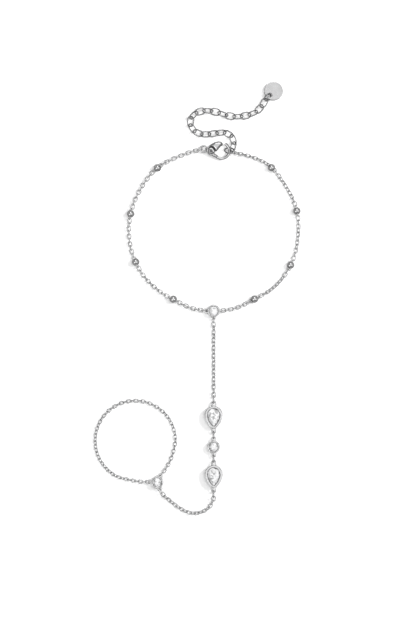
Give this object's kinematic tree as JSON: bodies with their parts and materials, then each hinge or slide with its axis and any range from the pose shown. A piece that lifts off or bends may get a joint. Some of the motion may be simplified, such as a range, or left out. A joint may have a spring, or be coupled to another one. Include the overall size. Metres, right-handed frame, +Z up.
{
  "type": "hand chain bracelet",
  "caption": "Hand chain bracelet laid flat: clasped wrist loop with extender, a drop of set stones down the back of the hand, and a finger loop.",
  "frame": {"origin": "middle of the outline on the table that the chain lies on", "axes": "+Z up from the table, +Y from the drop towards the clasp and extender, +X to the right of the picture"},
  "size_m": [0.0683, 0.1428, 0.0028],
  "materials": {
    "steel": "polished",
    "stone": "polished"
  },
  "bodies": {
    "bracelet": {"chain_left": "steel", "chain_right": "steel", "ball_1": "steel", "ball_2": "steel", "ball_3": "steel", "ball_4": "steel", "ball_5": "steel", "ball_6": "steel", "ball_7": "steel", "ball_8": "steel", "clasp_body": "steel", "end_ring": "steel", "extender_chain": "steel", "tag_ring": "steel", "end_tag": "steel", "centre_setting": "steel", "centre_stone": "stone", "drop_chain": "steel", "upper_ring": "steel", "upper_pear_setting": "steel", "upper_pear_stone": "stone", "upper_middle_ring": "steel", "middle_setting": "steel", "middle_stone": "stone", "lower_middle_ring": "steel", "lower_pear_setting": "steel", "lower_pear_stone": "stone", "lower_ring": "steel", "lead_chain": "steel", "finger_setting": "steel", "finger_stone": "stone", "finger_chain_left": "steel", "finger_chain_right": "steel"},
    "lever": {"clasp_lever": "steel"}
  },
  "joints": [
    {"name": "lever_pivot", "type": "hinge", "parent": "bracelet", "child": "lever", "pos_m": [0.00462, 0.04863, 0.0011], "axis": [0, 0, -1], "range_deg": [0, 14], "stiffness_Nm_per_rad": 0.0001, "springref_deg": -17.19}
  ]
}
